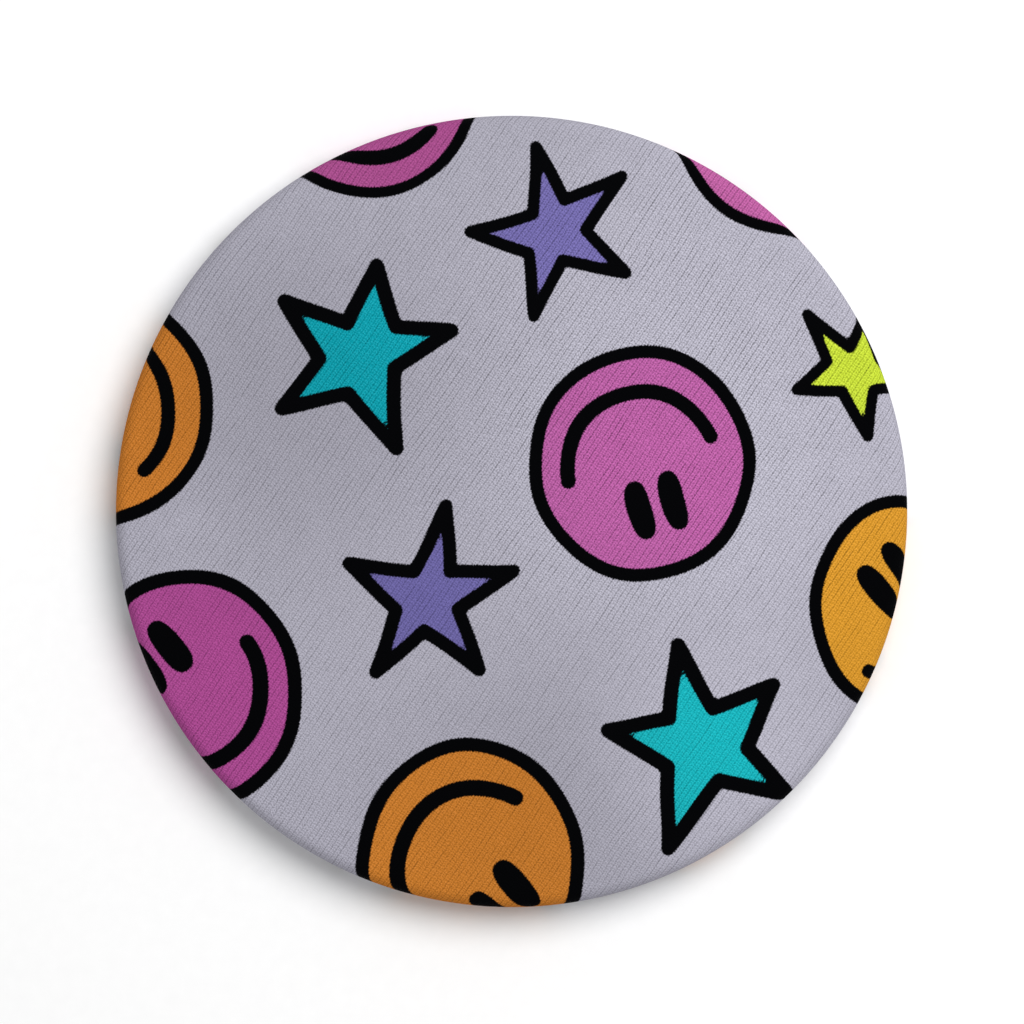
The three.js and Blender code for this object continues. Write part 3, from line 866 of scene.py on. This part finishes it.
def open_ring(outer, inner, start_outer, end_outer, start_inner, end_inner):
    """A ring's outline with a gap, about the needle, in (y, z)."""
    return np.concatenate([
        arc(PIN_Y, PIN_AXIS_Z, outer, start_outer, end_outer, 40),
        arc(PIN_Y, PIN_AXIS_Z, inner, end_inner, start_inner, 32),
    ])


def slotted_ring(outer):
    """A ring round the needle, with a straight slot in its underside."""
    ends = []
    for radius in (outer, LOCK_INNER):
        half = math.degrees(math.asin(LOCK_SLOT / 2 / radius))
        ends += [-90 + half, 270 - half]
    return open_ring(outer, LOCK_INNER, *ends)


def catch(metal):
    ends = HOUSING_FROM, HOUSING_TO
    tube = plate(open_ring(HOUSING_OUTER, HOUSING_INNER, *ends, *ends), LOCK_X - HOUSING_LENGTH / 2,
                 LOCK_X + HOUSING_LENGTH / 2, 0.06, axis="X")
    housing = solid("catch", staked_foot(LOCK_X, HOUSING_LENGTH) + [tube], metal)
    put(housing, "badge", "catch_housing")

    low, high = box_of("catch_lock")
    barrel = plate(slotted_ring(LOCK_OUTER), low[0], high[0], 0.05, axis="X")
    starts = [low[0], high[0] - COLLAR_THICK]
    collars = [plate(slotted_ring(COLLAR_RADIUS), x, x + COLLAR_THICK, 0.05, axis="X") for x in starts]
    flat = block((LEVER_ROOT + LEVER_REACH) / 2, 0, LEVER_REACH - LEVER_ROOT, LEVER_THICK, 0.2)
    lever = turned_back(flat, np.zeros(2), 90 - LEVER_ANGLE) + (PIN_Y, PIN_AXIS_Z)
    blade = plate(lever, LOCK_X - LEVER_LENGTH / 2, LOCK_X + LEVER_LENGTH / 2, 0.08, axis="X")
    put(solid("lock_ring", [barrel, *collars, blade], metal), "lock", "catch_lock")


# ---------------------------------------------------------------- table, camera and light


def table():
    size = 3.0
    bm = bmesh.new()
    bmesh.ops.create_grid(bm, x_segments=8, y_segments=8, size=size)
    mesh = bpy.data.meshes.new("table")
    bm.to_mesh(mesh)
    mesh.materials.append(table_top())
    piece = bpy.data.objects.new("table", mesh)
    bpy.context.scene.collection.objects.link(piece)


def aimed(thing, place, target):
    thing.location = Vector(place) * MM
    thing.rotation_euler = (Vector(target) - Vector(place)).to_track_quat("-Z", "Y").to_euler()
    bpy.context.scene.collection.objects.link(thing)


FRAME_SHARE = 0.7746  # of the picture's width that the badge takes up
LENS = 240.0
CAMERA_ASIDE = (0.03, -0.04)
WIDEST_BELOW_TOP = 2.2  # from the top of the face down to where the camera sees the badge at its widest
WORLD_LIGHT = 0.45
KEY_SIZE, KEY_POWER = 290, 1.3
KEY_PLACE = (126, 134, 345)


def camera():
    data = bpy.data.cameras.new("camera")
    data.lens = LENS
    data.clip_start, data.clip_end = 0.01, 10
    thing = bpy.data.objects.new("camera", data)
    distance = 2 * RADIUS / FRAME_SHARE * LENS / data.sensor_width
    thing.location = Vector((*CAMERA_ASIDE, HEIGHT - WIDEST_BELOW_TOP + distance)) * MM
    bpy.context.scene.collection.objects.link(thing)
    bpy.context.scene.camera = thing


def softbox(name, size, power, place, target=(0, 0, 0)):
    data = bpy.data.lights.new(name, "AREA")
    data.shape = "DISK"
    data.size = size * MM
    data.energy = power
    aimed(bpy.data.objects.new(name, data), place, target)


def light_everything():
    world = bpy.data.worlds.new("world")
    world.use_nodes = True
    background = world.node_tree.nodes["Background"]
    background.inputs["Color"].default_value = (1, 1, 1, 1)
    background.inputs["Strength"].default_value = WORLD_LIGHT
    bpy.context.scene.world = world
    softbox("key", KEY_SIZE, KEY_POWER, KEY_PLACE)


tin, plating = tinplate(), nickel()
lining_and_shell(tin)
fabric_cover()
back_plate(tin)
pin_bar(plating)
bar_rivets(plating)
hinge(plating)
pin_wire(needle_steel())
catch(plating)
table()
camera()
light_everything()
bpy.context.scene.view_settings.view_transform = "Standard"
